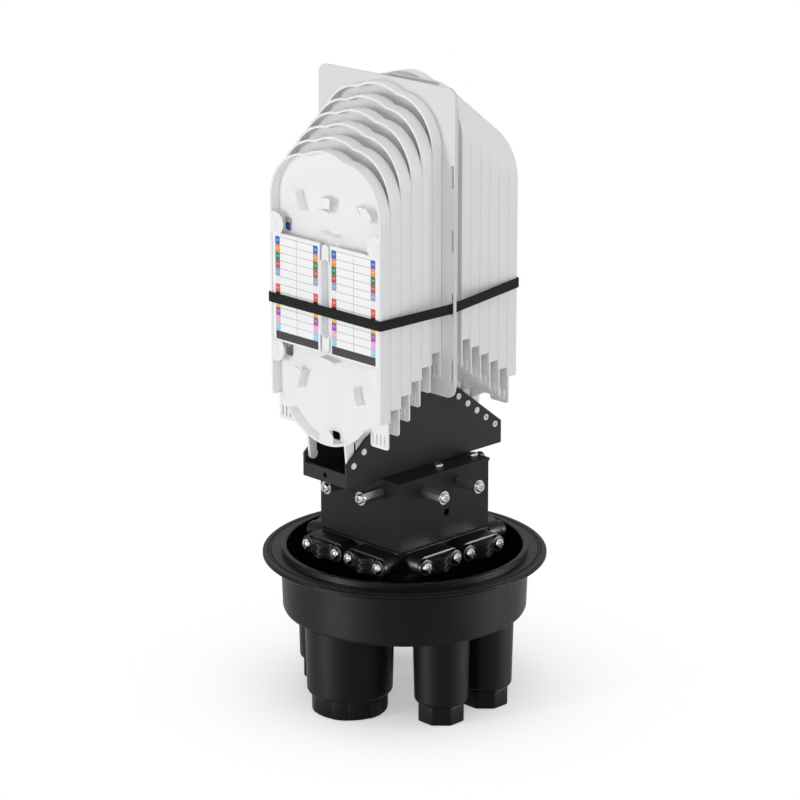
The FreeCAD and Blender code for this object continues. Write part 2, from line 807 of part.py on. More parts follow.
def wall_notches(y):
    """Cuts in the lower edge of a storage plate, astride the bracket's walls."""
    top = wall_top(y + plate_sheet) + plate_gap
    return [block(min(x0, x1), max(x0, x1), y, y + plate_sheet, plate_bottom, top)
            for x0, x1 in ((s * (wall_inner - plate_gap), s * (bracket_half_width + plate_gap)) for s in (-1, 1))]


def tongue(y, foot_y):
    """Middle of a storage plate that reaches down between the walls to a foot on the channel floor."""
    half = tongue_half_width
    upright = block(-half, half, y, y + plate_sheet, channel_floor, plate_bottom + tongue_overlap)
    foot = block(-half, half, min(y, foot_y), max(y + plate_sheet, foot_y), channel_floor,
                 channel_floor + plate_sheet)
    return [upright, foot]


def front_plate():
    """Storage plate behind the front stack, with a column of strap slots along each edge."""
    y = front_plate_y()
    plate = rounded_plate(-plate_half_width, plate_half_width, plate_bottom, plate_top, y, plate_corner)
    holes = wall_notches(y)
    for level in strap_slot_levels:
        for side in (-1, 1):
            x0, x1 = sorted((side * (plate_half_width - strap_slot_margin),
                             side * (plate_half_width - strap_slot_margin - strap_slot_width)))
            holes.append(block(x0, x1, y, y + plate_sheet, level - strap_slot_height / 2,
                               level + strap_slot_height / 2))
    return fuse_all([plate] + tongue(y, y - foot_length)).cut(holes)


def rear_plate():
    """Second storage plate, narrower and lower, with one tab up to the height of the first."""
    y = front_plate_y() + plate_sheet + plate_spacing
    plate = rounded_plate(-rear_plate_half_width, rear_plate_half_width, plate_bottom, rear_plate_top, y, plate_corner)
    tab = rounded_plate(tab_left, tab_right, rear_plate_top - 3 * plate_corner, plate_top, y, 3.0)
    return fuse_all([plate, tab] + tongue(y, y + plate_sheet + foot_length)).cut(wall_notches(y))


def plate_spacers():
    """Posts that hold the two storage plates apart."""
    y = front_plate_y() + plate_sheet
    return Part.makeCompound([cylinder(spacer_radius, plate_spacing, (x, y, z), Y) for x, z in spacer_places])


def strap():
    """Strap round both stacks, through a slot on each side of the front plate."""
    plate_y = front_plate_y() + plate_sheet / 2
    front_y = front_axes()[0][0] - tray_face - strap_gap
    rear_y = rear_axes()[0][0] + tray_face + strap_gap
    side = tray_half_width + strap_gap
    slot_x = plate_half_width - strap_slot_margin - strap_slot_width / 2

    def loop(grow):
        corner = [(-side - grow, front_y - grow), (side + grow, front_y - grow),
                  (slot_x + grow - strap_thickness / 2, plate_y), (side + grow, rear_y + grow),
                  (-side - grow, rear_y + grow), (-slot_x - grow + strap_thickness / 2, plate_y)]
        wire = Part.makePolygon([Vector(x, y, 0) for x, y in corner + corner[:1]])
        return Part.Face(wire).extrude(Z * strap_height)

    band = loop(strap_thickness).cut(loop(0.0))
    band.translate(Vector(0, 0, strap_front_level - strap_height / 2))
    band.rotate(Vector(0, front_y, strap_front_level), X, math.degrees(math.atan(strap_rise)))
    return band


def main():
    os.makedirs("parts", exist_ok=True)
    save("base_rim", base_rim())
    save("base_floor", base_floor())
    save("port_tubes", port_tubes())
    save("dome_seal_ring", seal_ring())
    for name, x, y, _, nut_radius, big in port_places():
        save(name, port_nut(x, y, nut_radius, big))
    save("port_plugs", port_plugs())
    save("pedestal", pedestal())
    save("clamp_blocks", around(clamp_block))
    save("clamp_saddles", around(clamp_saddle))
    save("clamp_screws", around(clamp_screws))
    save("box_cover", box_cover())
    save("box_screws", box_screws())
    save("standoffs", standoffs())
    save("standoff_washers", standoff_washers())
    save("standoff_screws", standoff_screws())
    save("tray_bracket", bracket())
    save("hinge_bushes", hinge_bushes())
    save("front_plate", front_plate())
    save("rear_plate", rear_plate())
    save("plate_spacers", plate_spacers())
    save("strap", strap())
    one_pair = cards()
    for rear, axes, word, drop in ((False, front_axes(), "front", 0.0), (True, rear_axes(), "rear", rear_drop)):
        one_tray = tray(drop)
        for i, (y, peg_z) in enumerate(axes):
            z = peg_z - drop
            save("tray_%s_%d" % (word, i + 1), placed(one_tray, y, z, rear))
            save("cards_%s_%d" % (word, i + 1), placed(one_pair, y, z, rear))


main()
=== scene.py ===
"""Looks of the dome splice closure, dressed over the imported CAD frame.

The closure stands on its port nuts without its dome: a black moulded base with six
cable ports, clamps round a pedestal, a black box with standoffs, a black channel and
two stacks of white splice trays, tied by a woven strap. All lengths are in metres.
"""

import json
import logging
import math
from dataclasses import dataclass, field
from enum import Enum
from typing import Iterable, Sequence

import bpy
import numpy as np
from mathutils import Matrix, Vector

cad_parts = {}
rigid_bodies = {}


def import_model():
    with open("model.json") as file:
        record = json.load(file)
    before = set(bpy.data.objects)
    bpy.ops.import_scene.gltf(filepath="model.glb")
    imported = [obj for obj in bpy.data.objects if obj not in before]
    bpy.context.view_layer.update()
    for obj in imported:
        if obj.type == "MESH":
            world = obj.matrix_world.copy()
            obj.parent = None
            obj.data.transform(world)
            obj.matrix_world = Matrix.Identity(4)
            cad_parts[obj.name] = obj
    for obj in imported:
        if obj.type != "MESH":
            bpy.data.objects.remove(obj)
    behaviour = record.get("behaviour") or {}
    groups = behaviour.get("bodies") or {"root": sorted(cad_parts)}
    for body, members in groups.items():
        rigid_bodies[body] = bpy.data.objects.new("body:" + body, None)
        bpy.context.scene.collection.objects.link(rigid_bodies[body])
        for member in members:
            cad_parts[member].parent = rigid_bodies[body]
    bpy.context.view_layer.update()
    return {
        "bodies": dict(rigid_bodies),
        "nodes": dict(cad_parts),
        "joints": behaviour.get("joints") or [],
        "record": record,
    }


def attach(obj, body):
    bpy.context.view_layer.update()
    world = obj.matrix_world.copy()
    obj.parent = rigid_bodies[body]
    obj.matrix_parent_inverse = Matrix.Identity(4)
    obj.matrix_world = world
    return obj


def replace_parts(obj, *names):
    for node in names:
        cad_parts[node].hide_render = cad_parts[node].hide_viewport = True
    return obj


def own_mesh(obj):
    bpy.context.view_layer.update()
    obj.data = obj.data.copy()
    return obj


LOG = logging.getLogger("closure")
MM = 0.001
REAR_DROP = 5.5

Rgb = tuple[float, float, float]


class Side(Enum):
    """The two stacks of trays, with the direction in which each one faces."""

    FRONT = -1
    REAR = 1

    @property
    def word(self) -> str:
        """The stack's word in the names of its pieces."""
        return self.name.lower()

    @property
    def drop(self) -> float:
        """How much lower its trays hang on their hinges than the front ones, in millimetres."""
        return 0.0 if self is Side.FRONT else REAR_DROP


def linear(red: int, green: int, blue: int) -> Rgb:
    """Turn an sRGB colour of 0 to 255 into linear values.

    Args:
        red: Red channel.
        green: Green channel.
        blue: Blue channel.

    Returns:
        The linear colour.
    """
    def channel(value: int) -> float:
        """One channel, by the sRGB curve."""
        share = value / 255
        return share / 12.92 if share <= 0.04045 else ((share + 0.055) / 1.055) ** 2.4

    return channel(red), channel(green), channel(blue)


class Group:
    """Builder of one shared shader node group."""

    def __init__(self, name: str, inputs: Sequence[tuple[str, str, object]],
                 outputs: Sequence[tuple[str, str]]) -> None:
        """Create the group with its sockets.

        Args:
            name: Name of the group.
            inputs: Socket name, socket type and default value of each input.
            outputs: Socket name and socket type of each output.
        """
        self.tree = bpy.data.node_groups.new(name, "ShaderNodeTree")
        for socket_name, kind, default in inputs:
            socket = self.tree.interface.new_socket(name=socket_name, in_out="INPUT",
                                                    socket_type=kind)
            if default is not None:
                socket.default_value = default
        for socket_name, kind in outputs:
            self.tree.interface.new_socket(name=socket_name, in_out="OUTPUT", socket_type=kind)
        self.inputs = self.tree.nodes.new("NodeGroupInput")
        self.outputs = self.tree.nodes.new("NodeGroupOutput")

    def node(self, kind: str, **settings: object) -> bpy.types.Node:
        """Add a node and set its properties.

        Args:
            kind: Type name of the node.
            settings: Properties of the node.

        Returns:
            The new node.
        """
        made = self.tree.nodes.new(kind)
        for key, value in settings.items():
            setattr(made, key, value)
        return made

    def math(self, operation: str, *values: object) -> bpy.types.NodeSocket:
        """Add a math node.

        Args:
            operation: The node's operation.
            values: Numbers or sockets for its inputs, in order.

        Returns:
            The node's output socket.
        """
        made = self.node("ShaderNodeMath", operation=operation)
        for i, value in enumerate(values):
            if isinstance(value, (int, float)):
                made.inputs[i].default_value = value
            else:
                self.tree.links.new(value, made.inputs[i])
        return made.outputs[0]

    def link(self, start: bpy.types.NodeSocket, end: bpy.types.NodeSocket) -> None:
        """Join two sockets."""
        self.tree.links.new(start, end)


BROAD_SCALE = 40.0
UNEVEN_GLOSS = 0.08
GRAIN_HEIGHT = 0.0001


def grain_group() -> bpy.types.NodeTree:
    """Build the group for moulded and painted surfaces: fine grain and slightly uneven gloss.

    Returns:
        The node tree, with outputs Normal and Roughness.
    """
    group = Group("SurfaceGrain",
                  [("Size", "NodeSocketFloat", 900.0), ("Depth", "NodeSocketFloat", 0.05),
                   ("Roughness", "NodeSocketFloat", 0.4), ("Edge", "NodeSocketFloat", 0.0003)],
                  [("Normal", "NodeSocketVector"), ("Roughness", "NodeSocketFloat")])
    place = group.node("ShaderNodeTexCoord")
    fine = group.node("ShaderNodeTexNoise")
    group.link(place.outputs["Object"], fine.inputs["Vector"])
    group.link(group.inputs.outputs["Size"], fine.inputs["Scale"])
    broad = group.node("ShaderNodeTexNoise")
    group.link(place.outputs["Object"], broad.inputs["Vector"])
    broad.inputs["Scale"].default_value = BROAD_SCALE
    edge = group.node("ShaderNodeBevel", samples=4)
    group.link(group.inputs.outputs["Edge"], edge.inputs["Radius"])
    bump = group.node("ShaderNodeBump")
    bump.inputs["Distance"].default_value = GRAIN_HEIGHT
    group.link(group.inputs.outputs["Depth"], bump.inputs["Strength"])
    group.link(fine.outputs["Fac"], bump.inputs["Height"])
    group.link(edge.outputs["Normal"], bump.inputs["Normal"])
    group.link(bump.outputs["Normal"], group.outputs.inputs["Normal"])
    uneven = group.math("MULTIPLY_ADD", broad.outputs["Fac"], UNEVEN_GLOSS, -UNEVEN_GLOSS / 2)
    rough = group.math("ADD", group.inputs.outputs["Roughness"], uneven)
    group.link(rough, group.outputs.inputs["Roughness"])
    return group.tree


@dataclass(frozen=True)
class Finish:
    """One procedural finish: a colour, a gloss and a fine surface grain."""

    name: str
    colour: Rgb
    roughness: float
    metallic: float = 0.0
    specular: float = 0.5
    grain: float = 0.05
    grain_size: float = 900.0
    edge: float = 0.0003
    subsurface: float = 0.0
    scatter: float = 0.004

    def build(self, grain: bpy.types.NodeTree) -> bpy.types.Material:
        """Make the material.

        Args:
            grain: The shared grain group.

        Returns:
            The new material.
        """
        material = bpy.data.materials.new(self.name)
        material.use_nodes = True
        nodes, links = material.node_tree.nodes, material.node_tree.links
        shader = nodes["Principled BSDF"]
        shader.inputs["Base Color"].default_value = (*self.colour, 1.0)
        shader.inputs["Metallic"].default_value = self.metallic
        shader.inputs["Specular IOR Level"].default_value = self.specular
        shader.inputs["Subsurface Weight"].default_value = self.subsurface
        shader.inputs["Subsurface Radius"].default_value = (self.scatter,) * 3
        surface = nodes.new("ShaderNodeGroup")
        surface.node_tree = grain
        for socket, value in (("Size", self.grain_size), ("Depth", self.grain),
                              ("Roughness", self.roughness), ("Edge", self.edge)):
            surface.inputs[socket].default_value = value
        links.new(surface.outputs["Normal"], shader.inputs["Normal"])
        links.new(surface.outputs["Roughness"], shader.inputs["Roughness"])
        return material


# Finish of each material slot, and of the channel, whose paint is a little lighter than the box's.
FINISHES = {
    "black_plastic": Finish("BlackPlastic", (0.0045, 0.0045, 0.0047), 0.40,
                            specular=0.08, grain=0.12),
    "black_rubber": Finish("BlackRubber", (0.007, 0.007, 0.007), 0.62,
                           specular=0.25, grain=0.1),
    "black_paint": Finish("BlackPaint", (0.0065, 0.0065, 0.0067), 0.50,
                          specular=0.22, grain=0.2, grain_size=1500.0),
    "bracket_paint": Finish("BracketPaint", (0.0175, 0.0175, 0.0178), 0.48,
                            specular=0.25, grain=0.2, grain_size=1500.0),
    "grey_paint": Finish("GreyPaint", linear(222, 222, 223), 0.42,
                         grain=0.06, grain_size=1500.0),
    "white_plastic": Finish("WhitePlastic", linear(241, 241, 242), 0.38,
                            specular=0.45, grain=0.03, edge=0.0002, subsurface=0.5),
    "bright_steel": Finish("BrightSteel", (0.5, 0.5, 0.51), 0.22, metallic=1.0, grain=0.03),
    "dark_steel": Finish("DarkSteel", (0.34, 0.34, 0.345), 0.3, metallic=0.9, grain=0.05),
}


@dataclass(frozen=True)
class LabelPrint:
    """Print of a splice tray's label card: ruled rows with a colour code at both ends.

    Lengths are in millimetres, across from the card's inner edge and down from its top row.
    """

    colours: tuple[Rgb, ...]
    inner_edge: float = 5.7
    top_row: float = 153.2
    row_height: float = 5.68
    bar_height: float = 6.0
    code_inner: tuple[float, float] = (1.15, 5.9)
    code_outer: tuple[float, float] = (39.9, 44.5)
    centre_line: float = 22.9
    line_width: float = 0.45
    mark_half: tuple[float, float] = (1.15, 0.62)
    mark_strength: float = 0.35
    rows_above: int = 8
    paper: Rgb = linear(244, 244, 245)
    line: Rgb = linear(176, 176, 178)
    mark: Rgb = linear(238, 238, 240)
    bar: Rgb = linear(52, 45, 45)
    roughness: float = 0.45

    def group(self) -> bpy.types.NodeTree:
        """Build the shared group that paints the print from object coordinates.

        Returns:
            The node tree, with input Datum in millimetres and output Color.
        """
        made = Group("LabelPrint", [("Datum", "NodeSocketFloat", 0.0)],
                     [("Color", "NodeSocketColor")])
        place = made.node("ShaderNodeTexCoord")
        parts = made.node("ShaderNodeSeparateXYZ")
        made.link(place.outputs["Object"], parts.inputs[0])
        sideways = made.math("ABSOLUTE", made.math("MULTIPLY", parts.outputs["X"], 1 / MM))
        across = made.math("SUBTRACT", sideways, self.inner_edge)
        height = made.math("SUBTRACT", made.math("MULTIPLY", parts.outputs["Z"], 1 / MM),
                           made.inputs.outputs["Datum"])
        down = made.math("SUBTRACT", self.top_row, height)
        rows_tall = self.row_height * len(self.colours)
        whole = rows_tall + self.bar_height

        ramp = made.node("ShaderNodeValToRGB")
        ramp.color_ramp.interpolation = "CONSTANT"
        stops = ramp.color_ramp.elements
        while len(stops) < len(self.colours):
            stops.new(0.5)
        for i, stop in enumerate(stops):
            stop.position = i / len(self.colours)
        for stop, colour in zip(stops, self.colours):
            stop.color = (*colour, 1.0)
        made.link(made.math("DIVIDE", down, rows_tall), ramp.inputs["Fac"])

        def band(value: bpy.types.NodeSocket, low: float, high: float) -> bpy.types.NodeSocket:
            """Mask that is 1 where the value lies between low and high."""
            above = made.math("GREATER_THAN", value, low)
            return made.math("MULTIPLY", above, made.math("LESS_THAN", value, high))

        in_rows = band(down, 0.0, rows_tall)
        between = band(across, self.code_inner[0], self.code_outer[1])
        code = made.math("MULTIPLY", in_rows, made.math("ADD", band(across, *self.code_inner),
                                                        band(across, *self.code_outer)))
        step = made.math("MODULO", made.math("ADD", down, self.row_height * self.rows_above),
                         self.row_height)
        ruled = made.math("LESS_THAN", step, self.line_width)
        half_line = self.line_width / 2
        upright = band(across, self.centre_line - half_line, self.centre_line + half_line)
        lines = made.math("MULTIPLY", made.math("MAXIMUM", ruled, upright),
                          made.math("MULTIPLY", in_rows, between))
        middle = self.row_height / 2
        wide, tall = self.mark_half
        columns = [band(across, (low + high) / 2 - wide, (low + high) / 2 + wide)
                   for low, high in (self.code_inner, self.code_outer)]
        marks = made.math("MULTIPLY", band(step, middle - tall, middle + tall),
                          made.math("ADD", *columns))
        marks = made.math("MULTIPLY", made.math("MULTIPLY", marks, in_rows), self.mark_strength)
        bar = made.math("MULTIPLY", band(down, rows_tall, whole), between)

        def mix(fac: bpy.types.NodeSocket, first: object, second: object) -> bpy.types.NodeSocket:
            """Mix two colours, each a tuple or a socket.

            Args:
                fac: Share of the second one.
                first: First colour.
                second: Second colour.

            Returns:
                The mixed colour's socket, which is output 2; inputs 6 and 7 are the colours'.
            """
            node = made.node("ShaderNodeMix", data_type="RGBA")
            made.link(fac, node.inputs[0])
            for slot, value in ((6, first), (7, second)):
                if isinstance(value, tuple):
                    node.inputs[slot].default_value = (*value, 1.0)
                else:
                    made.link(value, node.inputs[slot])
            return node.outputs[2]

        colour = mix(lines, self.paper, self.line)
        colour = mix(code, colour, ramp.outputs["Color"])
        colour = mix(marks, colour, self.mark)
        colour = mix(bar, colour, self.bar)
        made.link(colour, made.outputs.inputs["Color"])
        return made.tree

    def build(self, tree: bpy.types.NodeTree, name: str, datum: float) -> bpy.types.Material:
        """Make the material of one tray's cards.

        Args:
            tree: The shared print group.
            name: Name of the material.
            datum: Height of the tray's own zero level, in millimetres.

        Returns:
            The new material.
        """
        material = bpy.data.materials.new(name)
        material.use_nodes = True
        nodes, links = material.node_tree.nodes, material.node_tree.links
        shader = nodes["Principled BSDF"]
        shader.inputs["Roughness"].default_value = self.roughness
        printed = nodes.new("ShaderNodeGroup")
        printed.node_tree = tree
        printed.inputs["Datum"].default_value = datum
        links.new(printed.outputs["Color"], shader.inputs["Base Color"])
        return material


# The usual order of fibre colours: blue, orange, green, brown, slate, white, red, black, yellow,
# violet, rose, aqua.
FIBRE_CODE = (linear(35, 100, 190), linear(236, 145, 72), linear(22, 125, 84), linear(178, 78, 72),
              linear(142, 160, 192), linear(236, 236, 236), linear(224, 82, 62), linear(32, 32, 32),
              linear(222, 200, 58), linear(160, 76, 168), linear(238, 168, 206), linear(150, 206, 232))

# Woven strap: cells to the millimetre, depth of the weave in metres, thread and gap colours.
WEAVE_SCALE = 1.9
WEAVE_DEPTH = 0.0003
WEAVE_STOPS = ((0.15, (0.028, 0.028, 0.028, 1.0)), (0.75, (0.006, 0.006, 0.006, 1.0)))


def weave_material() -> bpy.types.Material:
    """Make the strap's woven fabric, read from the piece's UV map in millimetres.

    Returns:
        The new material.
    """
    material = bpy.data.materials.new("WovenStrap")
    material.use_nodes = True
    nodes, links = material.node_tree.nodes, material.node_tree.links
    shader = nodes["Principled BSDF"]
    shader.inputs["Roughness"].default_value = 0.85
    shader.inputs["Specular IOR Level"].default_value = 0.2
    place = nodes.new("ShaderNodeUVMap")
    weave = nodes.new("ShaderNodeTexVoronoi")
    weave.inputs["Scale"].default_value = WEAVE_SCALE
    links.new(place.outputs["UV"], weave.inputs["Vector"])
    ramp = nodes.new("ShaderNodeValToRGB")
    for stop, (position, colour) in zip(ramp.color_ramp.elements, WEAVE_STOPS):
        stop.color = colour
        stop.position = position
    links.new(weave.outputs["Distance"], ramp.inputs["Fac"])
    links.new(ramp.outputs["Color"], shader.inputs["Base Color"])
    bump = nodes.new("ShaderNodeBump")
    bump.invert = True
    bump.inputs["Strength"].default_value = 0.7
    bump.inputs["Distance"].default_value = WEAVE_DEPTH
    links.new(weave.outputs["Distance"], bump.inputs["Height"])
    links.new(bump.outputs["Normal"], shader.inputs["Normal"])
    return material


@dataclass
class Strap:
    """Woven strap round both stacks of trays, threaded through a slot on each side of a plate.

    Lengths are in millimetres; rise is the climb of its level towards the rear.
    """

    side_x: float = 55.5
    slot_x: float = 64.8
    plate_y: float = -17.5
    front_y: float = -77.5
    rear_y: float = 56.9
    level: float = 299.6
    rise: float = 0.046
    width: float = 7.0
    thickness: float = 1.3
    edge: float = 0.5
    corner: float = 1.6
    corner_steps: int = 5

    def path(self, side: Side) -> np.ndarray:
        """Centre line of one half of the strap, seen from above.

        Straight runs, with a parabola at each corner that leaves and joins them smoothly.

        Args:
            side: The stack that this half goes round.

        Returns:
            Points as an array of x and y, from the left slot to the right one.
        """
        far = self.front_y if side is Side.FRONT else self.rear_y
        half = self.thickness / 2
        outward = far + side.value * half
        corners = np.array([(-self.slot_x, self.plate_y), (-self.side_x - half, outward),
                            (self.side_x + half, outward), (self.slot_x, self.plate_y)])
        t = np.linspace(0.0, 1.0, self.corner_steps + 1)[:, None]
        points = [corners[:1]]
        for before, here, after in zip(corners, corners[1:], corners[2:]):
            start = here + self._toward(here, before) * self.corner
            end = here + self._toward(here, after) * self.corner
            points.append((1 - t) ** 2 * start + 2 * t * (1 - t) * here + t * t * end)
        return np.concatenate([*points, corners[3:]])

    @staticmethod
    def _toward(start: np.ndarray, end: np.ndarray) -> np.ndarray:
        """Unit vector from one point to another."""
        return (end - start) / np.linalg.norm(end - start)

    def build(self, side: Side) -> bpy.types.Object:
        """Build one half as a ribbon with rounded edges.

        The section is carried along the centre line, square to it, and climbs with its distance
        from the front. The UV map holds the way along the ribbon and the way round it.

        Args:
            side: The stack that this half goes round.

        Returns:
            The new object.
        """
        path = self.path(side)
        step = np.gradient(path, axis=0)
        step /= np.linalg.norm(step, axis=1)[:, None]
        normal = np.stack([step[:, 1], -step[:, 0]], axis=1)
        h, t, edge = self.width / 2, self.thickness / 2, self.edge
        section = np.array([(t, h - edge), (t / 2, h), (-t / 2, h), (-t, h - edge), (-t, 0.0),
                            (-t, edge - h), (-t / 2, -h), (t / 2, -h), (t, edge - h), (t, 0.0)])
        centre_z = self.level + self.rise * (path[:, 1] - self.front_y)
        xy = path[:, None] + normal[:, None] * section[:, :1]
        z = centre_z[:, None] + section[:, 1]
        verts = np.concatenate([xy, z[..., None]], axis=-1).reshape(-1, 3) * MM
        length = self._travelled(path)
        girth = self._travelled(np.concatenate([section, section[:1]]))
        along = np.stack([length[:-1], length[:-1], length[1:], length[1:]], axis=-1)[:, None]
        around = np.stack([girth[:-1], girth[1:], girth[1:], girth[:-1]], axis=-1)[None]
        sides = np.stack(np.broadcast_arrays(along, around), axis=-1).reshape(-1, 2)
        uvs = np.concatenate([sides, np.zeros((2 * len(section), 2))])
        faces = tube_faces(len(path), len(section))
        return mesh_object(f"strap_{side.word}", verts, faces, uvs)

    @staticmethod
    def _travelled(points: np.ndarray) -> np.ndarray:
        """Length of the line through the points up to each one of them."""
        return np.append(0.0, np.cumsum(np.linalg.norm(np.diff(points, axis=0), axis=1)))


SHARP_ANGLE = math.radians(35.0)


def tube_faces(rings: int, around: int, first: int = 0) -> list[list[int]]:
    """Faces of a closed tube whose points are numbered ring by ring.

    Each quad joins two neighbours of one ring to the same two of the next ring, the last point of
    a ring being followed by its first one, and one face closes each end.

    Args:
        rings: Number of rings.
        around: Number of points in each ring.
        first: Number of the tube's first point.

    Returns:
        The point numbers of each face.
    """
    here = np.arange(around)
    after = (here + 1) % around
    low = first + np.arange(rings - 1)[:, None] * around
    quads = np.stack([low + here, low + after, low + around + after, low + around + here], axis=-1)
    ends = [(first + here[::-1]).tolist(), (first + (rings - 1) * around + here).tolist()]
    return quads.reshape(-1, 4).tolist() + ends


def mesh_object(name: str, verts: np.ndarray, faces: Sequence[Sequence[int]],
                uvs: np.ndarray | None = None, smooth: bool = True) -> bpy.types.Object:
    """Make a mesh object whose place is in its vertices.

    Args:
        name: Name of the piece.
        verts: Vertices in metres.
        faces: Vertex numbers of each face.
        uvs: One pair per face corner, in order.
        smooth: Whether its faces are shaded smooth, but for sharp edges.

    Returns:
        The new object.
    """
    mesh = bpy.data.meshes.new(name)
    mesh.from_pydata(verts.tolist(), [], faces)
    if uvs is not None:
        layer = mesh.uv_layers.new(name="UVMap")
        layer.data.foreach_set("uv", uvs.astype(np.float32).ravel())
    mesh.update()
    obj = bpy.data.objects.new(name, mesh)
    bpy.context.scene.collection.objects.link(obj)
    if smooth:
        mesh.shade_smooth()
        mesh.set_sharp_from_angle(angle=SHARP_ANGLE)
    return obj


class Shape:
    """Mesh under construction, made of lofts through rings of points, in millimetres."""

    def __init__(self) -> None:
        """Start with nothing."""
        self.verts: list[np.ndarray] = []
        self.faces: list[list[int]] = []
        self.count = 0

    def loft(self, rings: Sequence[np.ndarray]) -> None:
        """Join rings of equal length by quads, and close both ends.

        Args:
            rings: Arrays of points that run anticlockwise about the direction of the loft.
        """
        around = len(rings[0])
        self.faces += tube_faces(len(rings), around, self.count)
        self.verts += list(rings)
        self.count += around * len(rings)

    def build(self, name: str, body: str, slot: str,
              material: bpy.types.Material) -> bpy.types.Object:
        """Make the object, with its finish, on the body that carries it.

        Args:
            name: Name of the piece.
            body: Body that it rides on.
            slot: Material slot of the record; not used.
            material: Its finish.

        Returns:
            The new object.
        """
        piece = mesh_object(name, np.concatenate(self.verts) * MM, self.faces)
        piece.data.materials.append(material)
        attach(piece, body)
        LOG.info("piece %s", name)
        return piece


def turned(rings: Iterable[np.ndarray], degrees: float) -> list[np.ndarray]:
    """Turn rings of points about the vertical axis, by one rotation matrix for all of them.

    Args:
        rings: Arrays of points.
        degrees: Angle of the turn.

    Returns:
        The turned rings.
    """
    c, s = math.cos(math.radians(degrees)), math.sin(math.radians(degrees))
    matrix = np.array([[c, s, 0.0], [-s, c, 0.0], [0.0, 0.0, 1.0]])
    return [ring @ matrix for ring in rings]


@dataclass
class TraySkirts:
    """Thin walls behind the trays, each reaching to the rim of the next tray of its stack.

    Lengths are in millimetres from the tray's hinge; pitch is the step between two trays.
    """

    half_width: float = 55.2
    side_low: float = 38.0
    side_high: float = 180.0
    corner: float = 36.0
    crown: float = 220.7
    wall: float = 1.6
    floor_back: float = 2.7
    face: float = 5.7
    gap: float = 0.25
    pitch: tuple[float, float] = (10.0, 9.4)
    trays: int = 6
    steps: int = 12

    def outline(self, inset: float) -> np.ndarray:
        """Open outline over the shoulders and the crown, from the right foot to the left one.

        A straight side, a quarter circle at the shoulder and a shallow arc over the crown, through
        both shoulders and the crown's top, with the left half mirrored from the right one.

        Args:
            inset: Distance inside the tray's outer edge.

        Returns:
            Points as an array of x and z.
        """
        half, radius = self.half_width - inset, self.corner - inset
        centre = self.half_width - self.corner
        angle = math.pi / 2 * np.arange(self.steps + 1) / self.steps
        right = np.column_stack([np.append(half, centre + radius * np.cos(angle)),
                                 np.append(self.side_low, self.side_high + radius * np.sin(angle))])
        rise = self.crown - (self.side_high + self.corner)
        bow = (centre ** 2 + rise ** 2) / (2 * rise)
        x = centre * (1 - 2 * np.arange(1, self.steps) / self.steps)
        crown = np.column_stack([x, self.crown - bow + np.sqrt(bow ** 2 - x ** 2) - inset])
        return np.concatenate([right, crown, right[::-1] * (-1.0, 1.0)])

    def build(self, hinges: dict[str, Sequence[float]], material: bpy.types.Material) -> None:
        """Build one wall behind every tray that has another one behind it.

        Args:
            hinges: Place of each tray's hinge, in metres.
            material: The trays' finish.
        """
        outer, inner = self.outline(0.0), self.outline(self.wall)
        across_wall = np.stack([outer, outer, inner, inner], axis=1)
        for side, pitch in zip(Side, self.pitch):
            start, end = self.floor_back, pitch - self.face - self.gap
            depth = np.broadcast_to([start, end, end, start], across_wall.shape[:2])
            rings = np.stack([-side.value * across_wall[..., 0], -side.value * depth,
                              across_wall[..., 1]], axis=-1)
            for number in range(1, self.trays):
                _, y, z = (value / MM for value in hinges[f"tray_{side.word}_{number}"])
                shape = Shape()
                shape.loft(rings + (0.0, y, z - side.drop))
                shape.build(f"tray_skirt_{side.word}_{number}", f"tray_{side.word}_{number}",
                            "white_plastic", material)


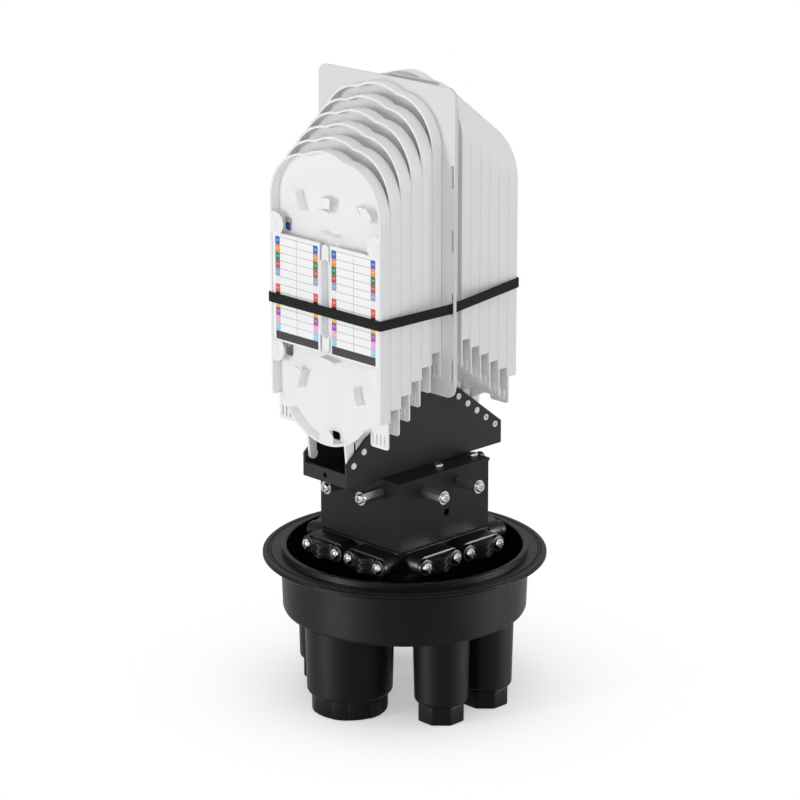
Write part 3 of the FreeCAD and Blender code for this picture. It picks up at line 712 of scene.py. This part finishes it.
@dataclass
class PortNuts:
    """Nuts under the six ports: big ones with ribs and grip bars, small ones with eight faces.

    Lengths are in millimetres; roundness is higher for sharper corners.
    """

    height: float = 13.6
    edge: float = 0.9
    big_radius: float = 27.4
    big_place: float = 55.0
    ribs: int = 110
    rib_depth: float = 0.3
    bars: int = 6
    bar_width: float = 10.0
    bar_rise: float = 0.35
    bar_ease: float = 0.4
    small_radius: float = 16.2
    small_places: tuple[float, float] = (60.0, 22.4)
    small_faces: int = 8
    roundness: float = 46.0
    wall: float = 8.0
    top_edge: float = 0.4
    steps: tuple[int, int] = (440, 160)

    def big(self, angle: np.ndarray) -> np.ndarray:
        """Radius of a big nut: a cosine for the ribs, faded out on the plain bars.

        Args:
            angle: Angles about the nut's axis, in radians.

        Returns:
            The radius at each angle.
        """
        ribs = self.rib_depth * 0.5 * (np.cos(angle * self.ribs) - 1)
        sector = 2 * math.pi / self.bars
        from_bar = np.abs((angle + sector / 2) % sector - sector / 2) * self.big_radius
        share = np.clip((from_bar - self.bar_width / 2) / self.bar_ease, 0.0, 1.0)
        return self.big_radius - self.bar_rise * share + ribs * share

    def small(self, angle: np.ndarray) -> np.ndarray:
        """Radius of a small nut: an octagon with rounded corners.

        The inverse of a high-power mean of the distances to its faces, as in a superellipse.

        Args:
            angle: Angles about the nut's axis, in radians.

        Returns:
            The radius at each angle.
        """
        turns = np.arange(self.small_faces)[None, :] * (2 * math.pi / self.small_faces)
        faces = np.cos(angle[:, None] - turns).clip(0.0)
        return self.small_radius / np.sum(faces ** self.roundness, axis=1) ** (1 / self.roundness)

    @staticmethod
    def ring(radius: np.ndarray, angle: np.ndarray, x: float, y: float, z: float) -> np.ndarray:
        """One level of a nut, as an array of points."""
        return np.column_stack([x + radius * np.cos(angle), y + radius * np.sin(angle),
                                np.full(len(angle), z)])

    def nut(self, name: str, x: float, y: float, big: bool, material: bpy.types.Material) -> None:
        """Build one nut.

        Args:
            name: The CAD node that it stands for.
            x: Centre of the nut.
            y: Centre of the nut.
            big: Whether it is one of the two big nuts.
            material: Its finish.
        """
        angle = np.linspace(0.0, 2 * math.pi, self.steps[0 if big else 1], endpoint=False)
        radius = self.big(angle) if big else self.small(angle)
        inner = np.full(len(angle), (self.big_radius if big else self.small_radius) - self.wall)
        edge, shade, height = self.edge, self.edge * 0.3, self.height
        levels = [(0.0, inner), (0.0, radius - edge), (shade, radius - shade), (edge, radius),
                  (height - self.top_edge, radius), (height, radius - self.top_edge),
                  (height, inner)]
        shape = Shape()
        shape.loft([self.ring(r, angle, x, y, z) for z, r in levels])
        piece = shape.build(name + "_grip", name, "black_plastic", material)
        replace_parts(piece, name)

    def build(self, material: bpy.types.Material) -> None:
        """Build the six nuts.

        Args:
            material: Their finish.
        """
        self.nut("port_nut_front", 0.0, -self.big_place, True, material)
        self.nut("port_nut_rear", 0.0, self.big_place, True, material)
        for word_x, sx in (("right", 1), ("left", -1)):
            for word_y, sy in (("rear", 1), ("front", -1)):
                x, y = sx * self.small_places[0], sy * self.small_places[1]
                self.nut(f"port_nut_{word_x}_{word_y}", x, y, False, material)


@dataclass
class Clamps:
    """Cable clamps on the four sides of the pedestal: body, ribbed saddle and two screws each.

    Lengths are in millimetres. bow_levels holds, for each ring of a saddle's bow, its rise, how
    far it is drawn in and whether it lies in a groove. recess holds the reach, half width and
    depth of a screw's cross.
    """

    halves: tuple[float, float] = (46.0, 43.0)
    offset: float = 21.5
    low: float = 109.0
    top: float = 124.0
    depth: float = 13.0
    end_radius: float = 7.4
    end_place: float = 13.2
    screw_place: float = 14.6
    ear_radius: float = 6.2
    ear_thickness: float = 3.0
    bow_half: float = 10.4
    bow_base: float = 2.6
    bow_reach: float = 5.6
    bow_low: float = 1.7
    bow_levels: tuple[tuple[float, float, float], ...] = (
        (0.0, -0.9, 0.0), (0.7, 0.0, 0.0), (2.4, 0.0, 0.0), (2.7, 0.0, 1.0), (4.3, 0.0, 1.0),
        (4.6, 0.0, 0.0), (7.0, 0.0, 0.0), (7.3, 0.0, 1.0), (8.9, 0.0, 1.0), (9.2, 0.0, 0.0),
        (10.9, 0.0, 0.0), (11.6, -0.9, 0.0))
    bow_steps: int = 25
    sunk: float = 0.5
    groove_half: float = 8.6
    groove_depth: float = 1.3
    head_radius: float = 4.1
    head_height: float = 3.2
    head_rim: float = 0.6
    head_rings: tuple[float, ...] = (1.0, 0.97, 0.9, 0.8, 0.7, 0.62, 0.54, 0.44, 0.34, 0.24, 0.14,
                                     0.06)
    recess: tuple[float, float, float] = (2.5, 0.62, 1.3)

    @property
    def middle(self) -> float:
        """Height of the middle of the clamps."""
        return (self.low + self.top) / 2

    @staticmethod
    def _stand(x: np.ndarray, z: np.ndarray, out: float | np.ndarray, half: float) -> np.ndarray:
        """Points in front of the pedestal's side at y = -half, out away from it."""
        return np.column_stack([x, np.zeros(len(x)) - half - out, z])

    def pill(self, centre: float, radius: float, flat: float, half: float,
             levels: Sequence[tuple[float, float]]) -> list[np.ndarray]:
        """Rings of a flat piece with round ends, seen from its face.

        Each ring is a circle whose halves are drawn apart to both sides, less the level's inset.

        Args:
            centre: Its middle along the pedestal's side.
            radius: Radius of its ends.
            flat: Half the distance between the middles of its ends.
            half: Distance of the pedestal's side from the axis.
            levels: Pairs of distance from the side and inset of the edge.

        Returns:
            One ring for each level.
        """
        angle = np.linspace(0.0, 2 * math.pi, 48, endpoint=False) + math.pi / 48
        shift = flat * np.sign(np.cos(angle))
        return [self._stand(centre + shift + (radius - inset) * np.cos(angle),
                            self.middle + (radius - inset) * np.sin(angle), out, half)
                for out, inset in levels]

    def bow(self, centre: float, half: float) -> list[np.ndarray]:
        """Rings of the saddle's bow, from its lower to its upper end, with three ribs across it.

        The bow stands out by a smooth step of the distance from its ends, and the levels between
        the ribs are drawn in by the depth of a groove.

        Args:
            centre: Its middle along the pedestal's side.
            half: Distance of the pedestal's side from the axis.

        Returns:
            The rings, in order.
        """
        x = np.linspace(-self.bow_half, self.bow_half, self.bow_steps)
        share = np.clip(1 - np.abs(x) / self.bow_half, 0.0, 1.0)
        swell = (share * share * (3 - 2 * share)) ** 0.8
        grooved = np.clip(self.groove_half - np.abs(x), 0.0, 1.0)
        xs = np.concatenate([x, [self.bow_half, -self.bow_half]]) + centre
        rings = []
        for rise, pull, groove in self.bow_levels:
            out = (self.depth + self.bow_base + (self.bow_reach + pull) * swell
                   - groove * self.groove_depth * grooved)
            outs = np.concatenate([out, [self.depth - self.sunk] * 2])
            z = np.full(len(xs), self.low + self.bow_low + rise)
            rings.append(self._stand(xs, z, outs, half))
        return rings

    def head(self, centre: float, half: float) -> list[np.ndarray]:
        """Rings of a domed screw head with a cross recess, from its rim to its middle.

        The dome is an ellipse over the share of the head's radius, and it is sunk where the point
        lies within the arms of the cross.

        Args:
            centre: Its middle along the pedestal's side.
            half: Distance of the pedestal's side from the axis.

        Returns:
            The rings, in order.
        """
        angle = np.linspace(0.0, 2 * math.pi, 64, endpoint=False)
        round_x, round_z = self.head_radius * np.cos(angle), self.head_radius * np.sin(angle)
        reach, width, sink = self.recess
        seat = self.depth + self.ear_thickness
        rings = [self._stand(centre + round_x, self.middle + round_z, seat - 0.2, half)]
        for share in self.head_rings:
            x, z = round_x * share, round_z * share
            swell = (self.head_height - self.head_rim) * math.sqrt(1 - share ** 2)
            dome = seat + self.head_rim + swell
            near, far = np.minimum(np.abs(x), np.abs(z)), np.maximum(np.abs(x), np.abs(z))
            out = np.where((near < width) & (far < reach), dome - sink, dome)
            rings.append(self._stand(centre + x, self.middle + z, out, half))
        return rings

    def build(self, finishes: dict[str, bpy.types.Material]) -> None:
        """Build the bodies, the saddles and the screws of all eight clamps.

        Args:
            finishes: Material of each slot.
        """
        bodies, saddles, screws = Shape(), Shape(), Shape()
        for turn, half in zip((0, 90, 180, 270), self.halves * 2):
            for centre in (-self.offset, self.offset):
                d = self.depth
                block = self.pill(centre, self.end_radius, self.end_place, half,
                                  [(-self.sunk, 0.0), (d - 0.8, 0.0), (d - 0.2, 0.25), (d, 0.9)])
                bodies.loft(turned(block, -turn))
                saddles.loft(turned(self.bow(centre, half), -turn))
                for side in (-self.screw_place, self.screw_place):
                    top = d + self.ear_thickness
                    ear = self.pill(centre + side, self.ear_radius, 0.0, half,
                                    [(d - self.sunk, 0.0), (top - 1.0, 0.0),
                                     (top - 0.2, 0.3), (top, 1.1)])
                    saddles.loft(turned(ear, -turn))
                    screws.loft(turned(self.head(centre + side, half), -turn))
        rows = ((bodies, "clamp_bodies", "clamp_blocks", "black_plastic"),
                (saddles, "clamp_bows", "clamp_saddles", "black_plastic"),
                (screws, "clamp_screw_heads", "clamp_screws", "bright_steel"))
        for shape, name, node, slot in rows:
            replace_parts(shape.build(name, "closure", slot, finishes[slot]), node)


@dataclass
class Closure:
    """The whole part: puts every finish on the CAD nodes and adds the soft pieces."""

    frame: dict
    finishes: dict[str, bpy.types.Material] = field(default_factory=dict)

    def slots(self) -> dict[str, str]:
        """Material slot of every node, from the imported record."""
        return {row["node"]: row["material_slot"] for row in self.frame["record"]["subparts"]}

    def hinges(self) -> dict[str, Sequence[float]]:
        """Place of every moving body's joint in metres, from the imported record."""
        joints = self.frame["record"]["behaviour"]["joints"]
        return {joint["child"]: joint["pos_m"] for joint in joints}

    def dress(self) -> None:
        """Give every hard node its procedural finish."""
        grain = grain_group()
        self.finishes = {slot: finish.build(grain) for slot, finish in FINISHES.items()}
        for node, slot in self.slots().items():
            if slot in self.finishes:
                self.assign(node, self.finishes[slot])
        self.assign("tray_bracket", self.finishes["bracket_paint"])
        LOG.info("finishes: %d", len(self.finishes))

    def assign(self, node: str, material: bpy.types.Material) -> None:
        """Put one material on a node.

        Args:
            node: Name of the CAD node.
            material: The material.
        """
        obj = self.frame["nodes"][node]
        obj.data.materials.clear()
        obj.data.materials.append(material)

    def label(self) -> None:
        """Print the label cards of every tray."""
        look = LabelPrint(FIBRE_CODE)
        tree = look.group()
        hinges = self.hinges()
        count = 0
        for node, slot in self.slots().items():
            if slot != "printed_card":
                continue
            _, word, number = node.split("_")
            datum = hinges[f"tray_{word}_{number}"][2] / MM - Side[word.upper()].drop
            self.assign(node, look.build(tree, f"Card_{word}_{number}", datum))
            count += 1
        LOG.info("label cards: %d", count)

    def detail(self) -> None:
        """Add the walls between the trays, the nuts and the clamps."""
        TraySkirts().build(self.hinges(), self.finishes["white_plastic"])
        PortNuts().build(self.finishes["black_plastic"])
        Clamps().build(self.finishes)

    def glossy(self) -> list[bpy.types.Object]:
        """Black moulded pieces, on which two strip lights draw soft streaks."""
        black = self.finishes["black_plastic"]
        return [obj for obj in bpy.context.scene.objects
                if obj.type == "MESH" and black in set(obj.data.materials)]

    def tie(self) -> None:
        """Put the woven strap in place of its plain solid."""
        strap = Strap()
        fabric = weave_material()
        for side in Side:
            piece = strap.build(side)
            piece.data.materials.append(fabric)
            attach(piece, "closure")
            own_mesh(piece)
            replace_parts(piece, "strap")
            LOG.info("piece %s", piece.name)


Place = tuple[float, float, float]
Size = tuple[float, float]

# Soft panels of light: name, place, size and power in watts.
PANELS: tuple[tuple[str, Place, Size, float], ...] = (
    ("key", (-0.5, -2.0, 0.42), (0.36, 0.8), 11.8),
    ("fill", (1.45, -1.42, 0.85), (0.7, 0.7), 6.0),
    ("top", (0.1, -0.1, 2.2), (1.4, 1.4), 6.0),
    ("side", (1.5, 1.3, 0.38), (0.22, 0.7), 3.0))
# Strips that only the black moulded pieces mirror.
STRIPS: tuple[tuple[str, Place, Size, float], ...] = (
    ("strip_left", (-0.5, -1.9, 0.24), (0.2, 0.44), 200.0),
    ("strip_right", (1.5, 1.25, 0.24), (0.2, 0.44), 170.0))
LIT_POINT = Vector((0.0, 0.0, 0.22))


@dataclass
class Studio:
    """Camera, floor and soft light of the picture."""

    strip_lit: list[bpy.types.Object]
    azimuth: float = 45.57
    pitch: float = 16.257
    distance: float = 2.2171
    target: tuple[float, float, float] = (0.0, 0.0, 0.24705)
    lens: float = 140.56
    shift: tuple[float, float] = (-0.0058, -0.0472)
    sensor: float = 36.0
    clip: tuple[float, float] = (0.1, 30.0)
    floor_half: float = 4.0
    floor_level: float = -0.0002
    floor_lift: float = 0.40
    floor_fade: tuple[float, float] = (0.06, 0.24)
    floor_grey: float = 0.86
    sky: tuple[float, float, float, float] = (0.99, 0.99, 1.0, 1.0)
    sky_strength: float = 0.52

    def camera(self) -> None:
        """Place the camera at the photograph's angle."""
        a, p = math.radians(self.azimuth), math.radians(self.pitch)
        away = Vector((math.cos(p) * math.sin(a), -math.cos(p) * math.cos(a), math.sin(p)))
        data = bpy.data.cameras.new("Camera")
        data.sensor_width = self.sensor
        data.lens = self.lens
        data.shift_x, data.shift_y = self.shift
        data.clip_start, data.clip_end = self.clip
        obj = bpy.data.objects.new("Camera", data)
        obj.location = Vector(self.target) + away * self.distance
        obj.rotation_euler = away.to_track_quat("Z", "Y").to_euler()
        bpy.context.scene.collection.objects.link(obj)
        bpy.context.scene.camera = obj

    @staticmethod
    def background_rays(nodes: bpy.types.Nodes, links: bpy.types.NodeLinks,
                        path: bpy.types.Node) -> bpy.types.NodeSocket:
        """Pick the rays that see the plain white background: camera, glossy and transmission rays.

        Args:
            nodes: Nodes of the tree.
            links: Links of the tree.
            path: Its Light Path node.

        Returns:
            A socket that is 1 for those rays and 0 for the rest.
        """
        total = path.outputs["Is Camera Ray"]
        for name in ("Is Glossy Ray", "Is Transmission Ray"):
            either = nodes.new("ShaderNodeMath")
            either.operation = "MAXIMUM"
            links.new(total, either.inputs[0])
            links.new(path.outputs[name], either.inputs[1])
            total = either.outputs[0]
        return total

    def floor(self) -> None:
        """Lay a pale floor that fades to the white background away from the closure."""
        half, level = self.floor_half, self.floor_level
        verts = np.array([(-half, -half, level), (half, -half, level),
                          (half, half, level), (-half, half, level)])
        obj = mesh_object("floor", verts, [(0, 1, 2, 3)], smooth=False)
        material = bpy.data.materials.new("Floor")
        material.use_nodes = True
        nodes, links = material.node_tree.nodes, material.node_tree.links
        shader = nodes["Principled BSDF"]
        shader.inputs["Base Color"].default_value = (*(self.floor_grey,) * 3, 1.0)
        shader.inputs["Roughness"].default_value = 0.9
        shader.inputs["Specular IOR Level"].default_value = 0.0
        place = nodes.new("ShaderNodeTexCoord")
        reach = nodes.new("ShaderNodeVectorMath")
        reach.operation = "LENGTH"
        links.new(place.outputs["Object"], reach.inputs[0])
        fade = nodes.new("ShaderNodeMapRange")
        fade.interpolation_type = "SMOOTHSTEP"
        for end, value in zip(("From Min", "From Max"), self.floor_fade):
            fade.inputs[end].default_value = value
        links.new(reach.outputs["Value"], fade.inputs["Value"])
        white = nodes.new("ShaderNodeEmission")
        lifted, mix = nodes.new("ShaderNodeAddShader"), nodes.new("ShaderNodeMixShader")
        glow = nodes.new("ShaderNodeEmission")
        rays = self.background_rays(nodes, links, nodes.new("ShaderNodeLightPath"))
        lift, share = nodes.new("ShaderNodeMath"), nodes.new("ShaderNodeMath")
        for product, end in ((lift, glow.inputs["Strength"]), (share, mix.inputs[0])):
            product.operation = "MULTIPLY"
            links.new(rays, product.inputs[0])
            links.new(product.outputs[0], end)
        lift.inputs[1].default_value = self.floor_lift
        links.new(fade.outputs["Result"], share.inputs[1])
        links.new(shader.outputs[0], lifted.inputs[0])
        links.new(glow.outputs[0], lifted.inputs[1])
        links.new(lifted.outputs[0], mix.inputs[1])
        links.new(white.outputs[0], mix.inputs[2])
        links.new(mix.outputs[0], nodes["Material Output"].inputs["Surface"])
        obj.data.materials.append(material)

    def lights(self) -> None:
        """Set a white sky and soft panels of light."""
        world = bpy.data.worlds.new("World")
        bpy.context.scene.world = world
        world.use_nodes = True
        nodes, links = world.node_tree.nodes, world.node_tree.links
        for node in list(nodes):
            nodes.remove(node)
        seen, sky = nodes.new("ShaderNodeBackground"), nodes.new("ShaderNodeBackground")
        sky.inputs["Color"].default_value = self.sky
        sky.inputs["Strength"].default_value = self.sky_strength
        path, mix = nodes.new("ShaderNodeLightPath"), nodes.new("ShaderNodeMixShader")
        links.new(self.background_rays(nodes, links, path), mix.inputs[0])
        links.new(sky.outputs[0], mix.inputs[1])
        links.new(seen.outputs[0], mix.inputs[2])
        seen.inputs["Color"].default_value = (1.0, 1.0, 1.0, 1.0)
        seen.inputs["Strength"].default_value = 1.0
        output = nodes.new("ShaderNodeOutputWorld")
        links.new(mix.outputs[0], output.inputs["Surface"])
        for panel in PANELS:
            self.panel(*panel)
        only = bpy.data.collections.new("StripLit")
        for obj in self.strip_lit:
            only.objects.link(obj)
        for row in STRIPS:
            strip = self.panel(*row)
            strip.light_linking.receiver_collection = only
            strip.visible_diffuse = False

    @staticmethod
    def panel(name: str, place: Place, size: Size, power: float) -> bpy.types.Object:
        """Add one panel of light that faces the closure.

        Args:
            name: Name of the light.
            place: Where it stands.
            size: Its width and its height.
            power: Its power in watts.

        Returns:
            The light.
        """
        data = bpy.data.lights.new(name, "AREA")
        data.shape, data.energy = "RECTANGLE", power
        data.size, data.size_y = size
        obj = bpy.data.objects.new(name, data)
        obj.location = place
        obj.rotation_euler = (Vector(place) - LIT_POINT).to_track_quat("Z", "Y").to_euler()
        bpy.context.scene.collection.objects.link(obj)
        return obj

    def build(self) -> None:
        """Set up the whole studio."""
        self.camera()
        self.floor()
        self.lights()
        bpy.context.scene.view_settings.view_transform = "Standard"


def main(frame: dict) -> None:
    """Dress the frame and set the scene.
    """
    closure = Closure(frame)
    closure.dress()
    closure.label()
    closure.detail()
    closure.tie()
    Studio(closure.glossy()).build()


if __name__ == "__main__":
    logging.basicConfig(level=logging.INFO)
    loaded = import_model()
    main(loaded)
